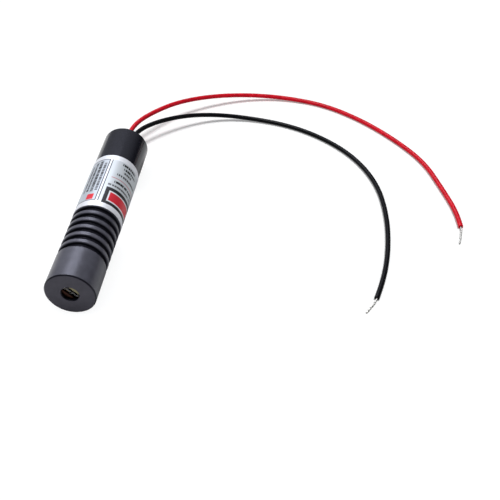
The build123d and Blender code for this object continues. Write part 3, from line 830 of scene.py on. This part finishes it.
def ink_bar():
    """Group: 1 inside a bar of given ends and width, 0 outside, with a soft edge."""
    inputs = ("Along", "Across", "Start", "End", "Middle", "Width")
    group, given, out = new_group("ink_bar", dict.fromkeys(inputs, "Float"), {"Mask": "Float"})
    half = reckon(group, "MULTIPLY", given["Width"], 0.5)
    aside = reckon(group, "ABSOLUTE", reckon(group, "SUBTRACT", given["Across"], given["Middle"]))
    insides = [reckon(group, "SUBTRACT", given["Along"], given["Start"]),
               reckon(group, "SUBTRACT", given["End"], given["Along"]),
               reckon(group, "SUBTRACT", half, aside)]
    nearest = reckon(group, "MINIMUM", reckon(group, "MINIMUM", insides[0], insides[1]), insides[2])
    group.links.new(soft_edge(group, nearest), out["Mask"])
    return group


def ink_dashes():
    """Group: dashes of uneven length. Each cell of the pitch has a dash that fills a random share of it."""
    group, given, out = new_group("ink_dashes", dict.fromkeys(("Along", "Pitch", "Seed"), "Float"),
                                  {"Mask": "Float"})
    cell = reckon(group, "DIVIDE", given["Along"], given["Pitch"])
    number = reckon(group, "ADD", reckon(group, "FLOOR", cell), given["Seed"])
    chance = put(group, "TexWhiteNoise", {"W": number}, noise_dimensions="1D").outputs["Value"]
    share = put(group, "MapRange", {"Value": chance, "To Min": SHORTEST_DASH, "To Max": 1.0}).outputs[0]
    filled = reckon(group, "SUBTRACT", share, reckon(group, "FRACT", cell))
    group.links.new(soft_edge(group, filled), out["Mask"])
    return group


INK_BAR = ink_bar()
INK_DASHES = ink_dashes()
print("groups:", INK_BAR.name, INK_DASHES.name)

# %% [markdown]
# The layout is a list of marks. Angles are in degrees from the top of the barrel, positive to its right seen
# from the front, and stations are millimetres behind the front face. What runs round the barrel is given as
# station, first and last angle, and what runs along it as angle, first and last station. Then comes the
# width, and on rows the strength of the ink.

# %% Print layout
PANELS = [(45.9, -62.0, -1.7, 22.3, (0.44, 0.475, 0.52)), (45.9, 5.2, 104.0, 22.3, (0.5, 0.53, 0.56))]
ROWS_ROUND = [
    (55.9, 32.0, 74.0, 1.1, 1.0), (54.0, 38.0, 80.0, 1.1, 1.0), (52.2, 40.0, 66.0, 1.0, 0.9),
    (50.0, 26.0, 90.0, 1.0, 0.9), (46.0, 26.0, 96.0, 1.1, 1.0), (43.9, 14.0, 102.0, 0.9, 0.85),
]
ROWS_ALONG = [
    (-9.0, 40.0, 55.0, 0.9, 0.9), (-20.0, 39.5, 56.2, 1.1, 1.0), (-32.0, 40.0, 55.8, 0.9, 1.0),
    (-43.0, 40.0, 54.8, 0.9, 1.0),
]
RULES_ALONG = [(-1.5, 34.9, 57.0), (5.0, 34.8, 57.0), (-62.0, 34.9, 57.0)]
RULES_ROUND = [(57.0, -62.0, -1.5), (34.9, -62.0, -1.5)]
RED_RULE = (47.8, 16.0, 104.0)
RULE_WIDTH = 0.34
DARK_FIELD = (38.4, 13.5, 108.0, 8.2)
PALE_BORDER = (38.3, 23.0, 101.5, 5.2)
RED_FIELD = (38.3, 26.5, 98.0, 4.1)
RED_SQUARE = (36.8, -26.0, -9.0, 2.8)
DASH_PITCH = 0.85
ROUND_SEED, ALONG_SEED, SEED_STEP = 0.0, 1000.0, 100.0
print("rows of dashes:", len(ROWS_ROUND) + len(ROWS_ALONG))

# %% [markdown]
# Each mark is a mask and an ink. A stack of Mix nodes lays them over the film one after another, as a
# printing press does: panels first, then rows and rules, and the fields of colour on top.

# %% Printed foil
FILM = (0.68, 0.69, 0.73)
INK = (0.008, 0.008, 0.01)
RULE_INK = (0.04, 0.04, 0.05)
RED_INK = (0.58, 0.015, 0.03)
RED_RULE_INK = (0.4, 0.14, 0.15)
FOIL_ROUGHNESS = 0.43
FOIL_GLOSS_SCALE, FOIL_GLOSS_SHARE = 0.8, 0.05 / FOIL_ROUGHNESS
DEGREE = np.radians(1.0) * LABEL_OUTER


def bar(tree, along, across, start, end, middle, width):
    """Mask of a bar."""
    return use_group(tree, INK_BAR, {"Along": along, "Across": across, "Start": start, "End": end,
                                     "Middle": middle, "Width": width})["Mask"]


def round_bar(tree, where, station, first, last, width):
    """Mask of a bar round the barrel."""
    arc, along = where
    return bar(tree, arc, along, first * DEGREE, last * DEGREE, station, width)


def along_bar(tree, where, angle, first, last, width):
    """Mask of a bar along the barrel."""
    arc, along = where
    return bar(tree, along, arc, first, last, angle * DEGREE, width)


def dashed(tree, mask, run, seed, strength):
    """A bar's mask broken into dashes."""
    dashes = use_group(tree, INK_DASHES, {"Along": run, "Pitch": DASH_PITCH, "Seed": seed})["Mask"]
    return reckon(tree, "MULTIPLY", reckon(tree, "MULTIPLY", mask, dashes), strength)


def print_layers(tree, where):
    """Masks and inks of all marks, from the lowest to the topmost."""
    arc, along = where
    layers = [(round_bar(tree, where, *place), tone) for *place, tone in PANELS]
    for i, (*place, strength) in enumerate(ROWS_ROUND):
        mask = round_bar(tree, where, *place)
        layers.append((dashed(tree, mask, arc, ROUND_SEED + i * SEED_STEP, strength), INK))
    for i, (*place, strength) in enumerate(ROWS_ALONG):
        mask = along_bar(tree, where, *place)
        layers.append((dashed(tree, mask, along, ALONG_SEED + i * SEED_STEP, strength), INK))
    layers += [(along_bar(tree, where, *rule, RULE_WIDTH), RULE_INK) for rule in RULES_ALONG]
    layers += [(round_bar(tree, where, *rule, RULE_WIDTH), RULE_INK) for rule in RULES_ROUND]
    layers.append((round_bar(tree, where, *RED_RULE, RULE_WIDTH), RED_RULE_INK))
    fields = [(DARK_FIELD, INK), (PALE_BORDER, FILM), (RED_FIELD, RED_INK), (RED_SQUARE, RED_INK)]
    return layers + [(round_bar(tree, where, *field), ink) for field, ink in fields]


def printed_foil():
    """Silver film with the layout's marks printed on it, one over another."""
    material, tree, shader = new_finish("printed_foil", Metallic=0.2, Specular_IOR_Level=0.25)
    place = place_on_barrel(tree)
    spot = put(tree, "SeparateXYZ", {0: place}).outputs
    arc = reckon(tree, "MULTIPLY", reckon(tree, "ARCTAN2", spot["X"], spot["Z"]), LABEL_OUTER)
    layers = print_layers(tree, (arc, spot["Y"]))
    colour = FILM
    for mask, ink in layers:
        colour = mixed(tree, mask, colour, ink)
    tree.links.new(colour, shader.inputs["Base Color"])
    gloss = mottled(tree, place, FOIL_GLOSS_SCALE, FOIL_ROUGHNESS, FOIL_GLOSS_SHARE)
    tree.links.new(gloss, shader.inputs["Roughness"])
    print("label print of", len(layers), "marks")
    return material


finishes["foil"] = printed_foil()
print("finishes:", len(finishes))

# %% [markdown]
# ## Finishes onto pieces
# New pieces name their slot, and the CAD solids came in with a plain material named after theirs. Materials
# could be handed out piece by piece, but the slot's name already says which finish belongs where. So nothing
# that shows keeps a plain colour.

# %% Assign finishes
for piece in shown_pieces():
    if "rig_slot" in piece:
        piece.data.materials.append(finishes[piece["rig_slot"]])
    else:
        piece.material_slots[0].material = finishes[piece.material_slots[0].material.name]

# %% [markdown]
# ## Table
# The module lies on a white table. More light would make the floor white, but would also wash out the part.
# So the floor adds a little light of its own for the rays that see it, and keeps its shadows. Close to the
# barrel a table lies in shade, which the barrel mirrors. The lamps below leave that shade out of the picture,
# so the floor's material gives it back to the rays that come from the part: less light is left near the
# barrel.

# %% Table
FLOOR_DROP = 0.02
FLOOR_HALF = 3000.0
FLOOR_TONE = 0.85
FLOOR_GLOW = 0.22
SHADE_DEPTH, SHADE_REACH = 0.75, 9.0
SHADE_SIDE, SHADE_END = 8.5, 37.0
WHITE = (1.0, 1.0, 1.0, 1.0)


def level_sheet(name, x, y, z):
    """Flat rectangle from x[0] to x[1] and y[0] to y[1], at height z. It faces up where x and y both grow, and
    down where one of them falls."""
    corners = np.array([(x[0], y[0], z), (x[1], y[0], z), (x[1], y[1], z), (x[0], y[1], z)]) * MM
    mesh = bpy.data.meshes.new(name)
    mesh.from_pydata(corners.tolist(), [], [(0, 1, 2, 3)])
    sheet = bpy.data.objects.new(name, mesh)
    scene.collection.objects.link(sheet)
    return sheet


def seen_directly(tree):
    """1 for camera, glossy and transmission rays, else 0."""
    ray = put(tree, "LightPath").outputs
    mirrored = reckon(tree, "MAXIMUM", ray["Is Glossy Ray"], ray["Is Transmission Ray"])
    return reckon(tree, "MAXIMUM", ray["Is Camera Ray"], mirrored)


def light_left(tree):
    """Share of light left on the table for rays from the part, else 1. With d the distance from the barrel's
    outline, it rises from 1 - depth at d = 0 to 1 at d = reach."""
    source = put(tree, "TexCoord").outputs["Object"]
    level = put(tree, "Mapping", {"Vector": source, "Scale": (1 / MM, 1 / MM, 0.0)}).outputs[0]
    from_middle = reckon_vector(tree, "ABSOLUTE", level)["Vector"]
    beyond = reckon_vector(tree, "SUBTRACT", from_middle, (SHADE_SIDE, SHADE_END, 0.0))["Vector"]
    distance = reckon_vector(tree, "LENGTH", reckon_vector(tree, "MAXIMUM", beyond)["Vector"])["Value"]
    shade = ramp(tree, distance, 0.0, SHADE_REACH, SHADE_DEPTH, 0.0)
    ray = put(tree, "LightPath").outputs
    from_part = reckon(tree, "MAXIMUM", ray["Is Glossy Ray"], ray["Is Diffuse Ray"])
    return reckon(tree, "SUBTRACT", 1.0, reckon(tree, "MULTIPLY", shade, from_part))


floor = level_sheet("floor", (-FLOOR_HALF, FLOOR_HALF), (-FLOOR_HALF, FLOOR_HALF), -FLOOR_DROP)
table, tree, shader = new_finish("white_table", Roughness=0.9, Specular_IOR_Level=0.0, Emission_Color=WHITE)
left = light_left(tree)
tree.links.new(mixed(tree, left, BLACK, 3 * (FLOOR_TONE,)), shader.inputs["Base Color"])
glow = reckon(tree, "MULTIPLY", seen_directly(tree), FLOOR_GLOW)
tree.links.new(reckon(tree, "MULTIPLY", glow, left), shader.inputs["Emission Strength"])
floor.data.materials.append(table)
floor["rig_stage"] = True
print("table of", 2 * FLOOR_HALF, "mm")

# %% [markdown]
# ## Surroundings
# Round the table everything is white, as in a light tent. One strong white world would flatten the part, so
# its light on the part is low and a little cool, and it is full white only for the rays that see it directly
# or in metal and glass.

# %% World
AMBIENT = 0.27
AMBIENT_COLOUR = (0.92, 0.96, 1.0)

world = bpy.data.worlds.new("white_surroundings")
world.use_nodes = True
scene.world = world
tree = world.node_tree
seen = seen_directly(tree)
strength = put(tree, "MapRange", {"Value": seen, "To Min": AMBIENT, "To Max": 1.0}).outputs[0]
sky = tree.nodes["Background"]
tree.links.new(mixed(tree, seen, AMBIENT_COLOUR, WHITE[:3]), sky.inputs["Color"])
tree.links.new(strength, sky.inputs["Strength"])
print("ambient light of", AMBIENT)

# %% [markdown]
# ## What the polished lands mirror
# Black metal shows little but reflections, so what stands round the table matters as much as the lamps. In a
# studio it is dark behind the camera and grey behind the object, with a black gap where the table ends. The
# walls of a room could be built, but a ring of cloth does just that. It is there for reflections only: it
# throws no light and no shadow, and no camera sees it.

# %% Studio cloth
CLOTH_RADIUS = 165.0
CLOTH_STEPS = 144
BACK_TOP, FRONT_TOP = 42.0, 72.0
CLOTH_DARK, CLOTH_GREY = 0.02, 0.95
GAP_TOP = (15.0, 115.0)
GAP_SIDE = (-60.0, 40.0)
LEFT_GREY = 0.4
GREY_FROM, GREY_FULL = -30.0, 80.0
PALE_FROM, PALE_FULL = -80.0, -130.0
PALE_GAIN = 1.8
COOL_WHITE = (0.87, 0.9, 1.0, 1.0)


def for_reflections(piece, material):
    """Stage piece that only glossy rays see."""
    piece.data.materials.append(material)
    piece.visible_camera = False
    piece.visible_diffuse = False
    piece.visible_shadow = False
    piece.visible_transmission = False
    piece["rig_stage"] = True


def cloth_ring():
    """Upright ring of radius R, of height R tan a, where a goes from back to front as (1 - cos t) / 2."""
    around = full_circle(CLOTH_STEPS)
    top_angle = BACK_TOP + (FRONT_TOP - BACK_TOP) * (1 - np.cos(around)) / 2
    height = np.stack([0 * around, CLOTH_RADIUS * np.tan(np.radians(top_angle))])
    circle = CLOTH_RADIUS * np.stack([np.sin(around), np.cos(around)], axis=-1)
    rows = np.concatenate([np.broadcast_to(circle, (2, CLOTH_STEPS, 2)), height[..., None]], axis=-1)
    return carried("studio_cloth", rows, capped=False)


def cloth_finish():
    """Glow of the cloth: grey behind the object and paler on its left, dark in front and in the gap below."""
    material, tree, shader = new_finish("studio_cloth", Base_Color=(*BLACK, 1.0), Specular_IOR_Level=0.0,
                                        Emission_Color=COOL_WHITE)
    place = put(tree, "Mapping", {"Vector": put(tree, "TexCoord").outputs["Object"],
                                  "Scale": (1 / MM, 1 / MM, 1 / MM)}).outputs[0]
    spot = put(tree, "SeparateXYZ", {0: place}).outputs
    gap_level = ramp(tree, spot["X"], *GAP_SIDE, LEFT_GREY, 0.0)
    above_gap = ramp(tree, spot["Z"], *GAP_TOP, gap_level, 1.0)
    behind = ramp(tree, spot["Y"], GREY_FROM, GREY_FULL)
    pale = ramp(tree, spot["X"], PALE_FULL, PALE_FROM, PALE_GAIN * CLOTH_GREY, CLOTH_GREY)
    grey = reckon(tree, "MULTIPLY", reckon(tree, "MULTIPLY", above_gap, behind), pale)
    tree.links.new(reckon(tree, "MAXIMUM", grey, CLOTH_DARK), shader.inputs["Emission Strength"])
    return material


for_reflections(cloth_ring(), cloth_finish())

# %% [markdown]
# The bright band on the front land and on the ribs is a white screen that hangs above and behind the module.
# A lamp there would give the band too, but it would also light the table. So the screen is one more sheet
# that only reflections see. Its far end comes first, so that it faces down.

# %% Studio screen
SCREEN_SIDES = (-300.0, 70.0)
SCREEN_ENDS = (520.0, 150.0)
SCREEN_HEIGHT = 400.0
SCREEN_LEVEL = 8.0

screen_finish, _, _ = new_finish("studio_screen", Specular_IOR_Level=0.0, Emission_Color=COOL_WHITE,
                                 Emission_Strength=SCREEN_LEVEL)
for_reflections(level_sheet("studio_screen", SCREEN_SIDES, SCREEN_ENDS, SCREEN_HEIGHT), screen_finish)
print("screen at", SCREEN_HEIGHT, "mm")

# %% [markdown]
# ## Lamps
# A square lamp high above lights the part, and a soft sun, which shines equally far and wide, lights the
# table. One lamp could do both, but in the picture only the thin leads throw a clear shadow, while the barrel
# lies on clean white. Light linking keeps the two apart: the sun is blocked by the leads alone, and the pale
# surroundings give the barrel its faint contact shadow.

# %% Lamps
KEY_PLACE = Vector((-220.0, -60.0, 1140.0))
KEY_TARGET = Vector((40.0, -10.0, 0.0))
KEY_SIZE, KEY_POWER = 400.0, 11.3
SUN_PLACE = Vector((120.0, -33.0, 1158.0))
SUN_TARGET = Vector((0.0, 0.0, 0.0))
SUN_SPREAD, SUN_POWER = 20.0, 2.35


def lamp(name, kind, power, place, target):
    """Lamp of a kind, aimed from its place at a target."""
    light = bpy.data.lights.new(name, kind)
    light.energy = power
    return aimed(bpy.data.objects.new(name, light), place, target)


def linked(name, things):
    """Collection that only serves light linking."""
    group = bpy.data.collections.new(name)
    for thing in things:
        group.objects.link(thing)
    return group


key_lamp = lamp("overhead_key", "AREA", KEY_POWER, KEY_PLACE, KEY_TARGET)
key_lamp.data.size = KEY_SIZE * MM
key_lamp.light_linking.receiver_collection = linked("lit_by_key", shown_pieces())

table_sun = lamp("table_sun", "SUN", SUN_POWER, SUN_PLACE, SUN_TARGET)
table_sun.data.angle = np.radians(SUN_SPREAD)
table_sun.light_linking.receiver_collection = linked("lit_by_sun", [floor])
leads_only = linked("shading_the_table", [red_lead, black_lead, red_end, black_end])
table_sun.light_linking.blocker_collection = leads_only

scene.view_settings.view_transform = "Standard"
print("lamp of", KEY_POWER, "W for the part, sun of", SUN_POWER, "W per square metre for the table")
